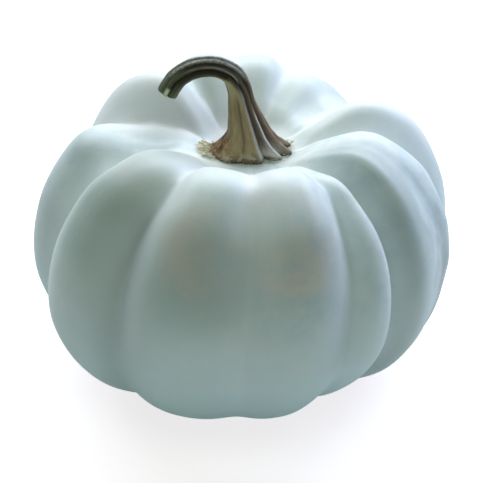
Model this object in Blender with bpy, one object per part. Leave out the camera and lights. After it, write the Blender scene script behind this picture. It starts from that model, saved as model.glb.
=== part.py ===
"""A small white ribbed pumpkin with its dried, hooked stem.

Metres, +Z up. The pumpkin rests on z = 0 with its box's middle over x = y = 0, and azimuths are
counted from the front (-Y) towards the right (+X). Both solids come from rules: the fruit is an outline
turned round the axis and pressed in along its creases, and the stem is a ridged, flaring tube
swept along a hooked path.
"""

import math

import bpy
import numpy as np

MM = 0.001

# The fruit's outline over the crests of its lobes, from the blossom end up and over into the stem
# hollow: radius, height and the depth of the creases there, in mm.
OUTLINE = (
    (0.0, 1.9, 0.0),
    (5.0, 1.3, 0.0),
    (10.0, 0.2, 0.5),
    (16.0, -0.3, 1.2),
    (26.0, 1.6, 1.8),
    (39.0, 10.5, 2.6),
    (47.1, 24.5, 3.6),
    (46.8, 40.0, 4.6),
    (40.0, 56.0, 5.6),
    (31.5, 63.8, 5.6),
    (24.0, 65.3, 4.0),
    (16.5, 61.0, 1.5),
    (12.0, 57.2, 0.3),
    (9.8, 56.1, 0.0),
    (8.4, 56.0, 0.0),
    (0.0, 56.0, 0.0),
)
REST_Z = 0.0  # the outline dips just under this, and is pressed flat there
SEAT_RADIUS = 9.8  # the flat that the stem grows from
SEAT_Z = 56.0
WIDEST = 46.8
CREST_RADIUS = 24.0
LIFT_FROM_Z = 41.0
LIFT_FULL_Z = 65.0
DIP_RADII = (25.0, 40.0)  # the dips are full inside the first of these
BELLY_FROM_Z = 30.0
BELLY_FULL_Z = 6.0
LEAN = 0.06  # how far the fruit leans to the right for its height
LEAN_FROM_Z = 25.0

# The creases between lobes: azimuth in degrees high up and low down, depth high up and low down as
# shares of the outline's, softness as a share of the half lobe beside it, how much of the depth is
# left where the crease runs over the crest into the stem hollow and how far it turns there.
CREASES = (
    (-78.0, -78.0, 1.30, 1.30, 0.10, 1.00, 0.0),
    (-40.5, -37.3, 1.15, 0.82, 0.12, 0.60, 5.0),
    (1.0, 0.0, 0.80, 0.45, 0.30, 0.60, 0.0),
    (35.5, 29.6, 0.80, 0.60, 0.16, 0.50, 2.5),
    (50.0, 48.8, 1.20, 1.20, 0.10, 1.00, 0.0),
    (71.0, 71.0, 0.14, 0.15, 0.40, 1.00, 0.0),
    (91.0, 91.0, 1.20, 1.20, 0.10, 1.00, 0.0),
    (121.0, 121.0, 1.10, 1.00, 0.12, 1.00, 0.0),
    (139.5, 139.5, 0.14, 0.60, 0.35, 1.00, 0.0),
    (162.0, 162.0, 0.45, 1.00, 0.14, 1.00, 0.0),
    (188.0, 188.0, 0.25, 1.00, 0.14, 1.00, 0.0),
    (215.0, 215.0, 0.75, 1.00, 0.12, 1.00, 0.0),
    (245.0, 245.0, 1.15, 1.20, 0.12, 1.00, 0.0),
)
BEND_LOW_Z = 24.0  # the creases turn from their low azimuths to their high ones between these heights
BEND_HIGH_Z = 56.0
CREASE_LOW_Z = 20.0
CREASE_HIGH_Z = 54.0
FADE_RADII = (26.0, 44.0)  # the shares and turns by the crest are full inside the first of these
# Each lobe, from the crease of the same row on: extra reach all the way up, extra lift at its
# crest, extra belly low down and a dip where it falls into the stem hollow, in mm.
LOBES = (
    (0.4, -1.4, 1.5, 0.0),
    (0.8, 0.0, 0.8, 0.0),
    (0.8, 0.0, 0.2, 0.0),
    (-0.6, -5.2, -1.2, 0.0),
    (0.2, -1.8, 1.6, 0.0),
    (0.2, -2.6, 3.8, 0.0),
    (1.7, -0.6, 1.4, 0.0),
    (-1.8, -7.6, 0.0, 0.0),
    (-0.5, -3.4, 0.0, 0.0),
    (0.3, 0.2, 0.0, 0.0),
    (0.3, 1.4, 0.0, 0.0),
    (1.4, 0.8, 0.0, 0.0),
    (1.1, -1.5, 1.8, -7.2),
)
LOBE_ROUNDNESS = 2.4  # 2 makes each lobe's section an arc; more leaves it flatter between creases
HOLLOW_ROUNDNESS = 3.8  # the same inside the stem hollow, fully so inside the first of these radii
HOLLOW_RADII = (16.0, 34.0)
HOLLOW_OVER_Z = 30.0

ROWS = 42
COLUMNS = 112

# The stem's path and girth from its flared foot to its cut tip: x, y, height, radius over the
# ridges, and depth from front to back as a share of the width; in mm.
STEM_PATH = (
    (2.1, 0.0, 56.4, 8.9, 0.60),
    (2.1, 0.0, 57.0, 9.2, 0.60),
    (2.05, 0.0, 58.2, 7.5, 0.68),
    (1.95, 0.0, 60.0, 5.9, 0.80),
    (1.7, 0.0, 62.1, 4.8, 0.90),
    (1.1, 0.0, 65.2, 3.9, 0.96),
    (0.4, 0.0, 68.8, 3.1, 1.00),
    (-0.2, 0.0, 72.6, 2.7, 1.00),
    (-1.9, 0.0, 76.1, 2.5, 1.00),
    (-5.5, 0.0, 77.9, 2.4, 1.00),
    (-9.8, 0.0, 77.6, 2.4, 1.00),
    (-13.4, -0.2, 75.6, 2.4, 1.00),
    (-15.3, -0.5, 73.2, 2.35, 1.00),
    (-16.1, -0.7, 71.6, 2.35, 1.00),
)
# The grooves between the stem's ridges: azimuth in degrees at the foot and on the arch, depth there
# as a share of the radius, and how narrow each one is.
STEM_GROOVES = (
    (-96.0, -112.0, 0.12, 0.10, 1.5),
    (-58.0, -74.0, 0.04, 0.06, 2.5),
    (-12.0, -24.0, 0.08, 0.03, 3.0),
    (31.0, 2.0, 0.32, 0.20, 1.6),
    (60.0, 42.0, 0.28, 0.14, 1.6),
    (94.0, 79.0, 0.22, 0.16, 1.5),
    (131.0, 114.0, 0.20, 0.12, 1.5),
    (168.0, 150.0, 0.22, 0.14, 1.5),
    (203.0, 186.0, 0.20, 0.12, 1.5),
    (236.0, 218.0, 0.20, 0.12, 1.5),
)
CLIMB_SHARES = (0.30, 0.62)  # where along the stem the grooves turn from their foot to their arch azimuths
STEM_ROWS = 40
STEM_COLUMNS = 80


def catmull_rom(points, count):
    """count rows, evenly spaced by stretch, along a uniform Catmull-Rom curve through points."""
    points = np.asarray(points, float)
    padded = np.vstack([points[:1], points, points[-1:]])
    place = np.linspace(0.0, len(points) - 1.0, count)
    first = np.minimum(place.astype(int), len(points) - 2)
    t = (place - first)[:, None]
    a, b, c, d = (padded[first + k] for k in range(4))
    return 0.5 * (
        2 * b
        + (c - a) * t
        + (2 * a - 5 * b + 4 * c - d) * t**2
        + (3 * b - a - 3 * c + d) * t**3
    )


def eased(value, low, high):
    """0 below low, 1 above high and a smooth step between."""
    t = np.clip((value - low) / (high - low), 0.0, 1.0)
    return t * t * (3 - 2 * t)


def crease_azimuths(side):
    """Where the creases are, high up (0), low down (1) or by the crest (2), up to the first one again."""
    angles = [crease[0] + crease[6] if side == 2 else crease[side] for crease in CREASES]
    return angles + [angles[0] + 360.0]


def column_places():
    """The fruit's columns, as a lobe and how far across it: on each crease and crest, and between."""
    high, low = crease_azimuths(0), crease_azimuths(1)
    places = []
    for i in range(len(CREASES)):
        width = (high[i + 1] - high[i] + low[i + 1] - low[i]) / 2
        steps = 2 * max(2, round(COLUMNS * width / 720.0))
        places.extend((i, k / steps) for k in range(steps))
    return places


def column_azimuths(side):
    angles = crease_azimuths(side)
    return np.array([angles[i] + share * (angles[i + 1] - angles[i]) for i, share in column_places()])


def lobe_values(side):
    """Reach, lift, belly and dip in mm at each column, eased from each lobe's crest to the next."""
    angles = crease_azimuths(side)
    azimuth = column_azimuths(side)
    centres = [(a + b) / 2 for a, b in zip(angles, angles[1:])]
    values = np.zeros((4, len(azimuth)))
    for i, lobe in enumerate(LOBES):
        before = (centres[i] - centres[i - 1]) % 360.0
        after = (centres[(i + 1) % len(centres)] - centres[i]) % 360.0
        off = (azimuth - centres[i] + 180.0) % 360.0 - 180.0
        share = np.clip(np.where(off < 0, -off / before, off / after), 0.0, 1.0)
        values += np.outer(lobe, 0.5 + 0.5 * np.cos(np.pi * share))
    return values


def crease_shares(roundness, up, by_crest):
    """How deep the creases press in, rows by columns, as shares of the outline's depth."""
    places = column_places()
    shares = np.zeros((len(roundness), len(places)))
    for i, (_, _, high, low, softness, crest_share, _) in enumerate(CREASES):
        away = np.ones(len(places))
        for k, (lobe, share) in enumerate(places):
            if lobe == i:
                away[k] = min(1.0, 2 * share)
            elif lobe == (i - 1) % len(CREASES):
                away[k] = min(1.0, 2 * (1 - share))
        rounded = np.sqrt(away**2 + softness**2) - softness
        rounded /= math.sqrt(1 + softness**2) - softness
        profile = (1 - rounded)[None, :] ** roundness[:, None]
        left = 1 + (crest_share - 1) * by_crest
        shares += profile * (high * left * up + low * (1 - up))[:, None]
    return shares


def mixed(first, second, share):
    """Rows by columns that go from the first values to the second ones."""
    return np.outer(1 - share, first) + np.outer(share, second)


def fruit_points(outline):
    """The fruit's surface in mm, as an array of outline rows by columns by x, y, z."""
    across, up = outline[:, 0], outline[:, 1]
    slope = np.gradient(outline[:, :2], axis=0)
    slope /= np.linalg.norm(slope, axis=1)[:, None]
    outward = np.stack([slope[:, 1], -slope[:, 0]], axis=1)
    bend = eased(up, BEND_LOW_Z, BEND_HIGH_Z)
    by_crest = (1 - eased(across, *FADE_RADII)) * (up > HOLLOW_OVER_Z)
    azimuth = mixed(column_azimuths(1), column_azimuths(0), bend)
    azimuth += np.outer(by_crest, column_azimuths(2) - column_azimuths(0))
    reach, lift, belly, dip = (mixed(b, a, bend) for a, b in zip(lobe_values(0), lobe_values(1)))
    in_hollow = (1 - eased(across, *HOLLOW_RADII)) * (up > HOLLOW_OVER_Z)
    roundness = LOBE_ROUNDNESS + (HOLLOW_ROUNDNESS - LOBE_ROUNDNESS) * in_hollow
    pressed = crease_shares(roundness, eased(up, CREASE_LOW_Z, CREASE_HIGH_Z), by_crest) * outline[:, 2:3]
    inner = eased(across, SEAT_RADIUS, CREST_RADIUS)
    low = inner * (1 - eased(up, BELLY_FULL_Z, BELLY_FROM_Z))
    high = inner * eased(up, LIFT_FROM_Z, LIFT_FULL_Z)
    dipped = inner * (1 - eased(across, *DIP_RADII)) * (up > HOLLOW_OVER_Z)
    radius = outline[:, 0:1] - outward[:, 0:1] * pressed
    radius += eased(across, SEAT_RADIUS, WIDEST)[:, None] * reach + low[:, None] * belly
    height = outline[:, 1:2] - outward[:, 1:2] * pressed
    height = np.maximum(height + high[:, None] * lift + dipped[:, None] * dip, REST_Z)
    turn = np.radians(azimuth)
    aside = LEAN * (height - LEAN_FROM_Z)
    return np.stack([radius * np.sin(turn) + aside, -radius * np.cos(turn), height], axis=2)


def closed_mesh(name, grid):
    """A closed mesh from rows of points that close round; the end rows are each drawn to one point."""
    rows, columns = grid.shape[:2]
    first, last = grid[0].mean(axis=0), grid[-1].mean(axis=0)
    points = [first, *grid[1:-1].reshape(-1, 3), last]
    end = len(points) - 1
    faces = []
    for k in range(columns):
        after = (k + 1) % columns
        faces.append((0, 1 + after, 1 + k))
        faces.append((end, end - columns + k, end - columns + after))
        for row in range(rows - 3):
            here = 1 + row * columns
            faces.append((here + k, here + after, here + columns + after, here + columns + k))
    mesh = bpy.data.meshes.new(name)
    mesh.from_pydata([tuple(p * MM) for p in points], [], faces)
    mesh.shade_smooth()
    return mesh


def fruit_grid():
    return fruit_points(catmull_rom(OUTLINE, ROWS))


def groove_share(azimuth, climb):
    """How deep the grooves cut, rows by azimuths, as a share of the radius, with rounded ridges between."""
    feet = [groove[0] for groove in STEM_GROOVES]
    cut = np.zeros((len(climb), len(azimuth)))
    for i, (foot, arch, foot_depth, arch_depth, narrow) in enumerate(STEM_GROOVES):
        before = (foot - feet[i - 1]) % 360.0
        after = (feet[(i + 1) % len(feet)] - foot) % 360.0
        at = foot + (arch - foot) * climb[:, None]
        off = (azimuth[None, :] - at + 180.0) % 360.0 - 180.0
        away = np.clip(np.where(off < 0, -2 * off / before, 2 * off / after), 0.0, 1.0)
        depth = foot_depth + (arch_depth - foot_depth) * climb[:, None]
        cut += depth * (0.5 + 0.5 * np.cos(np.pi * away)) ** narrow
    return cut


def stem_points(path, azimuth):
    """The stem's surface in mm, as an array of path rows by azimuths round it by x, y, z."""
    centre = path[:, :3]
    along = np.gradient(centre, axis=0)
    along[0] = (0.0, 0.0, 1.0)
    along /= np.linalg.norm(along, axis=1)[:, None]
    side = np.cross(np.array([0.0, 1.0, 0.0]), along)
    side /= np.linalg.norm(side, axis=1)[:, None]
    front = np.cross(side, along)
    turn = np.radians(azimuth)
    length = np.cumsum(np.linalg.norm(np.diff(centre, axis=0, prepend=centre[:1]), axis=1))
    climb = eased(length / length[-1], *CLIMB_SHARES)
    radius = path[:, 3:4] * (1 - groove_share(azimuth, climb))
    across = radius * np.sin(turn)[None, :]
    ahead = radius * np.cos(turn)[None, :] * path[:, 4:5]
    return (
        centre[:, None, :]
        + side[:, None, :] * across[:, :, None]
        + front[:, None, :] * ahead[:, :, None]
    )


def stem_grid():
    path = catmull_rom(STEM_PATH, STEM_ROWS)
    rows = stem_points(path, np.arange(STEM_COLUMNS) * 360.0 / STEM_COLUMNS)
    foot = np.broadcast_to(rows[0].mean(axis=0), rows[0].shape)[None]
    tip = np.broadcast_to(rows[-1].mean(axis=0), rows[-1].shape)[None]
    return np.concatenate([foot, rows, tip])


def plan_middle(*grids):
    """The middle of the grids' shared box, seen from above, at z = 0."""
    points = np.concatenate([grid.reshape(-1, 3) for grid in grids])
    middle = (points.min(axis=0) + points.max(axis=0)) / 2
    middle[2] = 0.0
    return middle


def material(name, colour, roughness):
    made = bpy.data.materials.new(name)
    made.use_nodes = True
    shader = made.node_tree.nodes["Principled BSDF"]
    shader.inputs["Base Color"].default_value = (*colour, 1.0)
    shader.inputs["Roughness"].default_value = roughness
    shader.inputs["Metallic"].default_value = 0.0
    return made


def place(name, mesh, made):
    piece = bpy.data.objects.new(name, mesh)
    mesh.materials.append(made)
    bpy.context.scene.collection.objects.link(piece)
    return piece


def main():
    for obj in list(bpy.data.objects):
        bpy.data.objects.remove(obj, do_unlink=True)
    fruit, stem = fruit_grid(), stem_grid()
    middle = plan_middle(fruit, stem)
    place("fruit", closed_mesh("fruit", fruit - middle), material("white_rind", (0.62, 0.72, 0.71), 0.42))
    place("stem", closed_mesh("stem", stem - middle), material("dried_stem", (0.16, 0.13, 0.07), 0.75))


main()
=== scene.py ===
import math

import bpy
import numpy as np
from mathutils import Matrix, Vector


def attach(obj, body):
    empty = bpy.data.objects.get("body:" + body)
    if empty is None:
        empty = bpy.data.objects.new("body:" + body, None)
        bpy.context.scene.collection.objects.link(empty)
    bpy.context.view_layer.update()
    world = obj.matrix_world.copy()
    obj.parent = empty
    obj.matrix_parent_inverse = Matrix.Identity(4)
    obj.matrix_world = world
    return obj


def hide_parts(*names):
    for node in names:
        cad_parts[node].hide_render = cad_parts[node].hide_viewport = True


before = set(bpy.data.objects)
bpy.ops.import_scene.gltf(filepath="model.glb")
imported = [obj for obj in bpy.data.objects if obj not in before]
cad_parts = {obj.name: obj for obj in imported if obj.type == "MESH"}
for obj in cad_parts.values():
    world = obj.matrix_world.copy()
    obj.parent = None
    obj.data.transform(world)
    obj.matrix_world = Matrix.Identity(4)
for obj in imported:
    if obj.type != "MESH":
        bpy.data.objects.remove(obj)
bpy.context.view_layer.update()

# A small white ribbed pumpkin with a dried, hooked stem, in metres with +Z up. It stands on z = 0.
# Azimuths are in degrees from the front (-Y) towards the right (+X).

MM = 0.001
ROUND = 360.0
NOWHERE = (0.0, 0.0, 0.0)
MIDDLE = (0.02802020039202091, 0.18070460676590727)  # of the box before it was centred, in mm

# ---------- the fruit's form
# Its outline over the crests of its lobes, from the blossom end up and over into the stem hollow:
# radius, height and the depth of the creases there, in mm.
OUTLINE = (
    (0.0, 1.9, 0.0),
    (5.0, 1.3, 0.0),
    (10.0, 0.2, 0.5),
    (16.0, -0.3, 1.2),
    (26.0, 1.6, 1.8),
    (39.0, 10.5, 2.6),
    (47.1, 24.5, 3.6),
    (46.8, 40.0, 4.6),
    (40.0, 56.0, 5.6),
    (31.5, 63.8, 5.6),
    (24.0, 65.3, 4.0),
    (16.5, 61.0, 1.5),
    (12.0, 57.2, 0.3),
    (9.8, 56.1, 0.0),
    (8.4, 56.0, 0.0),
    (0.0, 56.0, 0.0),
)
# The creases between lobes: azimuth high up and low down, depth high up and low down as shares of
# the outline's, softness as a share of the half lobe beside it, how much of the depth is left where
# the crease runs over the crest into the stem hollow, how far it turns there, and how pale the
# painted light line along its bottom is.
CREASES = (
    (-78.0, -78.0, 1.30, 1.30, 0.10, 1.00, 0.0, 0.15),
    (-40.5, -37.3, 1.15, 0.82, 0.12, 0.60, 5.0, 0.50),
    (1.0, 0.0, 0.80, 0.45, 0.30, 0.60, 0.0, 1.00),
    (35.5, 29.6, 0.80, 0.60, 0.16, 0.50, 2.5, 0.35),
    (50.0, 48.8, 1.20, 1.20, 0.10, 1.00, 0.0, 0.40),
    (71.0, 71.0, 0.14, 0.15, 0.40, 1.00, 0.0, 0.10),
    (91.0, 91.0, 1.20, 1.20, 0.10, 1.00, 0.0, 0.60),
    (121.0, 121.0, 1.10, 1.00, 0.12, 1.00, 0.0, 0.60),
    (139.5, 139.5, 0.14, 0.60, 0.35, 1.00, 0.0, 0.30),
    (162.0, 162.0, 0.45, 1.00, 0.14, 1.00, 0.0, 0.60),
    (188.0, 188.0, 0.25, 1.00, 0.14, 1.00, 0.0, 0.60),
    (215.0, 215.0, 0.75, 1.00, 0.12, 1.00, 0.0, 0.60),
    (245.0, 245.0, 1.15, 1.20, 0.12, 1.00, 0.0, 0.60),
)
# Each lobe, from the crease of the same row on: extra reach all the way up, extra lift at its
# crest, extra belly low down and a dip where it falls into the stem hollow, in mm, and how much
# painted shade its flank has, from 0 to 1.
LOBES = (
    (0.4, -1.4, 1.5, 0.0, 1.00),
    (0.8, 0.0, 0.8, 0.0, 0.70),
    (0.8, 0.0, 0.2, 0.0, 0.48),
    (-0.6, -5.2, -1.2, 0.0, 0.08),
    (0.2, -1.8, 1.6, 0.0, 0.55),
    (0.2, -2.6, 3.8, 0.0, 0.15),
    (1.7, -0.6, 1.4, 0.0, 0.30),
    (-1.8, -7.6, 0.0, 0.0, 0.35),
    (-0.5, -3.4, 0.0, 0.0, 0.40),
    (0.3, 0.2, 0.0, 0.0, 0.35),
    (0.3, 1.4, 0.0, 0.0, 0.45),
    (1.4, 0.8, 0.0, 0.0, 0.22),
    (1.1, -1.5, 1.8, -7.2, 0.35),
)

# Broad patches of painted shade and painted light on the rind: azimuth, half width in degrees, the
# heights between which it lies in mm, and its strength, below 0 where it is painted light, paler
# than the rind around it.
PAINTED_LIGHT_AND_SHADE = (
    (-97.0, 8.0, 50.0, 70.0, 0.45),
    (-88.0, 8.0, 0.0, 45.0, 0.25),
    (-90.0, 5.0, 58.0, 72.0, 0.60),
    (-57.0, 9.0, -9.0, 40.0, 0.20),
    (-58.0, 12.0, 57.0, 70.0, 0.32),
    (-38.0, 6.0, -9.0, 61.0, 0.42),
    (-30.0, 5.0, -9.0, 50.0, 0.12),
    (-6.0, 7.0, 40.0, 60.0, 0.24),
    (2.0, 5.0, 59.0, 67.0, -0.60),
    (10.0, 9.0, 61.0, 70.0, -0.70),
    (22.0, 6.0, 52.0, 61.0, 0.18),
    (26.5, 4.0, 25.0, 60.0, 0.22),
    (43.0, 4.0, 42.0, 62.0, -0.45),
    (54.0, 5.0, 8.0, 57.0, 0.32),
    (65.0, 8.0, 57.0, 70.0, 0.46),
    (76.0, 6.5, 0.0, 50.0, 0.34),
    (70.0, 6.0, -5.0, 38.0, 0.20),
    (104.0, 16.0, 50.0, 70.0, -0.60),
    (133.0, 8.0, 50.0, 64.0, 0.25),
    (172.0, 14.0, 50.0, 70.0, 0.10),
    (-148.0, 9.0, 50.0, 70.0, 0.34),
    (-116.0, 20.0, 50.0, 70.0, -0.80),
)

# ---------- the stem's form
# Its path and girth from the flared foot to the cut tip: x, y, height, radius over the ridges,
# and depth from front to back as a share of the width; in mm.
STEM_PATH = (
    (2.1, 0.0, 55.9, 9.2, 0.60),
    (2.1, 0.0, 56.7, 9.5, 0.60),
    (2.05, 0.0, 58.2, 7.5, 0.68),
    (1.95, 0.0, 60.0, 5.9, 0.80),
    (1.7, 0.0, 62.1, 4.8, 0.90),
    (1.1, 0.0, 65.2, 3.9, 0.96),
    (0.4, 0.0, 68.8, 3.1, 1.0),
    (-0.2, 0.0, 72.6, 2.7, 1.0),
    (-1.9, 0.0, 76.1, 2.5, 1.0),
    (-5.5, 0.0, 77.9, 2.4, 1.0),
    (-9.8, 0.0, 77.6, 2.4, 1.0),
    (-13.4, -0.2, 75.6, 2.4, 1.0),
    (-15.3, -0.5, 73.2, 2.35, 1.0),
    (-16.1, -0.7, 71.6, 2.35, 1.0),
)
# The grooves between its ridges, which turn a little as they climb: azimuth at the foot and on the
# arch, depth as a share of the radius at the foot and on the arch, and how narrow they are.
GROOVE_COLUMNS = ("At Foot", "At Arch", "Foot Depth", "Arch Depth", "Narrowness")
STEM_GROOVES = (
    (-96.0, -112.0, 0.12, 0.10, 1.5),
    (-58.0, -74.0, 0.04, 0.06, 2.5),
    (-12.0, -24.0, 0.08, 0.03, 6.0),
    (31.0, 2.0, 0.32, 0.20, 1.6),
    (60.0, 42.0, 0.28, 0.14, 1.6),
    (94.0, 79.0, 0.22, 0.16, 1.5),
    (131.0, 114.0, 0.20, 0.12, 1.5),
    (168.0, 150.0, 0.22, 0.14, 1.5),
    (203.0, 186.0, 0.20, 0.12, 1.5),
    (236.0, 218.0, 0.20, 0.12, 1.5),
)
# Lines that colour the stem, which turn with its ridges: azimuth at the foot and on the arch, half
# width in degrees at the foot and on the arch, where each begins and ends as shares of the stem's
# length, and how strong it is. Pale ones are rubbed ridges, and the last is a painted highlight
# along the top of the arch. Dark ones darken the furrows, and the fourth is painted shade under it.
LINE_COLUMNS = ("At Foot", "At Arch", "Foot Width", "Arch Width", "From", "Until", "Strength")
PALE_LINES = (
    (22.0, -8.0, 6.0, 4.0, -0.30, 0.50, 1.00),
    (47.0, 24.0, 4.0, 3.0, -0.30, 0.36, 1.00),
    (50.0, 26.0, 15.0, 6.0, -0.30, 0.15, 1.00),
    (78.0, 60.0, 13.0, 10.0, -0.30, 0.11, 0.60),
    (-2.0, 21.0, 4.0, 3.5, 0.46, 0.86, 0.32),
    (62.0, 60.0, 12.0, 9.0, 0.48, 0.90, 0.28),
    # a painted highlight along the top of the arch
    (124.0, 120.0, 12.0, 22.0, 0.40, 1.02, 1.00),
)
DARK_LINES = (
    (-12.0, -24.0, 3.6, 4.5, 0.02, 0.46, 0.70),
    (33.0, 2.0, 7.5, 12.0, -0.30, 1.05, 1.00),
    (60.0, 38.0, 7.0, 13.0, -0.30, 0.90, 0.95),
    # painted shade under the arch
    (40.0, -16.0, 6.0, 18.0, 0.52, 0.98, 1.00),
    (86.0, 79.0, 8.0, 7.0, 0.30, 0.92, 0.75),
    (-58.0, -74.0, 3.0, 8.0, 0.06, 0.36, 0.25),
)

# The dried fringe round the stem's foot: azimuth and spread of each tuft, how long its flakes
# are in mm, and how much of the rim they cover.
FRINGE = (
    (-100.0, 13.0, 4.4, 1.00),
    (-78.0, 14.0, 2.6, 0.90),
    (-30.0, 40.0, 0.4, 0.30),
    (40.0, 30.0, 0.7, 0.55),
    (112.0, 28.0, 2.0, 0.22),
    (190.0, 50.0, 1.0, 0.20),
)


# ---------- node trees
class Graph:
    """A node tree with short calls for its nodes. Values are numbers, tuples or nodes' outputs."""

    def __init__(self, tree):
        self.tree = tree

    def node(self, kind, values=None, **settings):
        made = self.tree.nodes.new(kind)
        for name, value in settings.items():
            setattr(made, name, value)
        for key, value in (values or {}).items():
            if isinstance(value, bpy.types.NodeSocket):
                self.tree.links.new(value, made.inputs[key])
            else:
                made.inputs[key].default_value = value
        return made

    def out(self, kind, values=None, **settings):
        """The first output of a new node."""
        return self.node(kind, values, **settings).outputs[0]

    def math(self, operation, *values):
        return self.out("ShaderNodeMath", dict(enumerate(values)), operation=operation)

    def times(self, first, *others):
        """The product of two or more values."""
        for value in others:
            first = self.math("MULTIPLY", first, value)
        return first

    def times_plus(self, value, factor, added):
        return self.math("MULTIPLY_ADD", value, factor, added)

    def plus(self, first, second):
        return self.math("ADD", first, second)

    def minus(self, first, second):
        return self.math("SUBTRACT", first, second)

    def vector(self, operation, *values):
        return self.out("ShaderNodeVectorMath", dict(enumerate(values)), operation=operation)

    def scaled(self, vector, share):
        return self.out("ShaderNodeVectorMath", {0: vector, "Scale": share}, operation="SCALE")

    def joined(self, x=0.0, y=0.0, z=0.0):
        return self.out("ShaderNodeCombineXYZ", {0: x, 1: y, 2: z})

    def reach(self, x, y):
        """How far a point is from the middle, seen from above."""
        made = self.node("ShaderNodeVectorMath", {0: self.joined(x, y)}, operation="LENGTH")
        return made.outputs[1]

    def split(self, vector):
        return self.node("ShaderNodeSeparateXYZ", {0: vector}).outputs

    def ranged(self, value, low, high, to_low=0.0, to_high=1.0, shape="LINEAR"):
        values = {0: value, 1: low, 2: high, 3: to_low, 4: to_high}
        return self.out("ShaderNodeMapRange", values, interpolation_type=shape)

    def eased(self, value, low, high, to_low=0.0, to_high=1.0):
        return self.ranged(value, low, high, to_low, to_high, "SMOOTHSTEP")

    def faded(self, value, full, none):
        """1 while a number is at full or before it, easing to 0 where it reaches none."""
        return self.eased(value, full, none, 1.0, 0.0)

    def noise(self, vector, scale, detail=2.0, roughness=0.5, distortion=0.0):
        values = {"Vector": vector, "Scale": scale, "Detail": detail}
        values.update(Roughness=roughness, Distortion=distortion)
        return self.out("ShaderNodeTexNoise", values)

    def mixed(self, share, first, second):
        """A colour between two colours, each given as red, green and blue or by a node."""
        first, second = ((*c, 1.0) if isinstance(c, tuple) else c for c in (first, second))
        made = self.node("ShaderNodeMix", {0: share, 6: first, 7: second}, data_type="RGBA")
        return made.outputs[2]

    def layered(self, colour, *layers):
        """A colour with others laid over it in turn, each by its share."""
        for share, tint in layers:
            colour = self.mixed(share, colour, tint)
        return colour

    def blended(self, share, first, second):
        """A number between two numbers."""
        return self.out("ShaderNodeMix", {0: share, 2: first, 3: second}, data_type="FLOAT")

    def named(self, name):
        """A number kept on the mesh, read in a geometry tree."""
        return self.out("GeometryNodeInputNamedAttribute", {"Name": name}, data_type="FLOAT")

    def kept(self, geometry, values, data_type="FLOAT", domain="POINT"):
        """The geometry with values kept on it by name."""
        for name, value in values.items():
            named = {"Geometry": geometry, "Name": name, "Value": value}
            settings = {"data_type": data_type, "domain": domain}
            geometry = self.out("GeometryNodeStoreNamedAttribute", named, **settings)
        return geometry

    def moved(self, geometry, way, where):
        """The geometry with its points at a Position or moved by an Offset."""
        return self.out("GeometryNodeSetPosition", {"Geometry": geometry, way: where})

    def placed(self, group, values, label=""):
        """Another group's outputs, with that group placed here."""
        kind = "ShaderNodeGroup" if group.bl_idname == "ShaderNodeTree" else "GeometryNodeGroup"
        return self.node(kind, values, node_tree=group, label=label).outputs


PATH_STEPS = 24  # between two points of a path
SAME_POINT = 1e-6  # points closer than this are joined, in metres
BELL_FALL = -0.7
SOCKETS = {float: "NodeSocketFloat", int: "NodeSocketInt", tuple: "NodeSocketVector"}


def new_object(name, data):
    made = bpy.data.objects.new(name, data)
    bpy.context.scene.collection.objects.link(made)
    return made


def new_group(name, takes, gives, kind="GeometryNodeTree"):
    """A node group with named inputs and outputs: its Graph, what it takes and what it gives."""
    tree = bpy.data.node_groups.new(name, kind)
    for label, value in takes.items():
        if isinstance(value, str):
            tree.interface.new_socket(name=label, in_out="INPUT", socket_type="NodeSocket" + value)
        else:
            socket = SOCKETS[type(value)]
            item = tree.interface.new_socket(name=label, in_out="INPUT", socket_type=socket)
            item.default_value = value
    for label, socket in gives.items():
        tree.interface.new_socket(name=label, in_out="OUTPUT", socket_type="NodeSocket" + socket)
    g = Graph(tree)
    return g, g.node("NodeGroupInput").outputs, g.node("NodeGroupOutput").inputs


def give(g, outputs, **values):
    for name, value in values.items():
        g.tree.links.new(value, outputs[name.replace("_", " ")])


def grown(name, tree, start, **values):
    """A plain mesh object made by a geometry tree from a start mesh, with the tree's inputs set."""
    source = new_object(name + "_start", start)
    modifier = source.modifiers.new("grow", "NODES")
    modifier.node_group = tree
    for item in tree.interface.items_tree:
        label = item.name.replace(" ", "_")
        if item.in_out == "INPUT" and label in values:
            modifier[item.identifier] = values[label]
    source.update_tag()
    bpy.context.view_layer.update()
    depsgraph = bpy.context.evaluated_depsgraph_get()
    mesh = bpy.data.meshes.new_from_object(source.evaluated_get(depsgraph))
    mesh.name = name
    bpy.data.objects.remove(source, do_unlink=True)
    return new_object(name, mesh)


def path_mesh(name, points, **extras):
    """Points in mm joined by edges in a row, with each extra kept on them as a named number."""
    mesh = bpy.data.meshes.new(name)
    edges = [(k, k + 1) for k in range(len(points) - 1)]
    mesh.from_pydata([tuple(c * MM for c in p) for p in points], edges, [])
    for label, values in extras.items():
        mesh.attributes.new(label, "FLOAT", "POINT").data.foreach_set("value", values)
    return mesh


def on_path(g, geometry, share, *names):
    """A smooth curve through a path, at a share of its length: place, direction and numbers."""
    curve = g.out("GeometryNodeMeshToCurve", {"Mesh": geometry})
    curve = g.out("GeometryNodeCurveSplineType", {"Curve": curve}, spline_type="CATMULL_ROM")
    values = {"Geometry": curve, "Resolution": PATH_STEPS}
    curve = g.out("GeometryNodeSetSplineResolution", values)
    found = []
    for name in names:
        values = {"Curves": curve, "Factor": share, "Value": g.named(name)}
        made = g.node("GeometryNodeSampleCurve", values, mode="FACTOR", use_all_curves=True)
        found.append(made.outputs["Value"])
    return made.outputs["Position"], made.outputs["Tangent"], found


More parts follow.
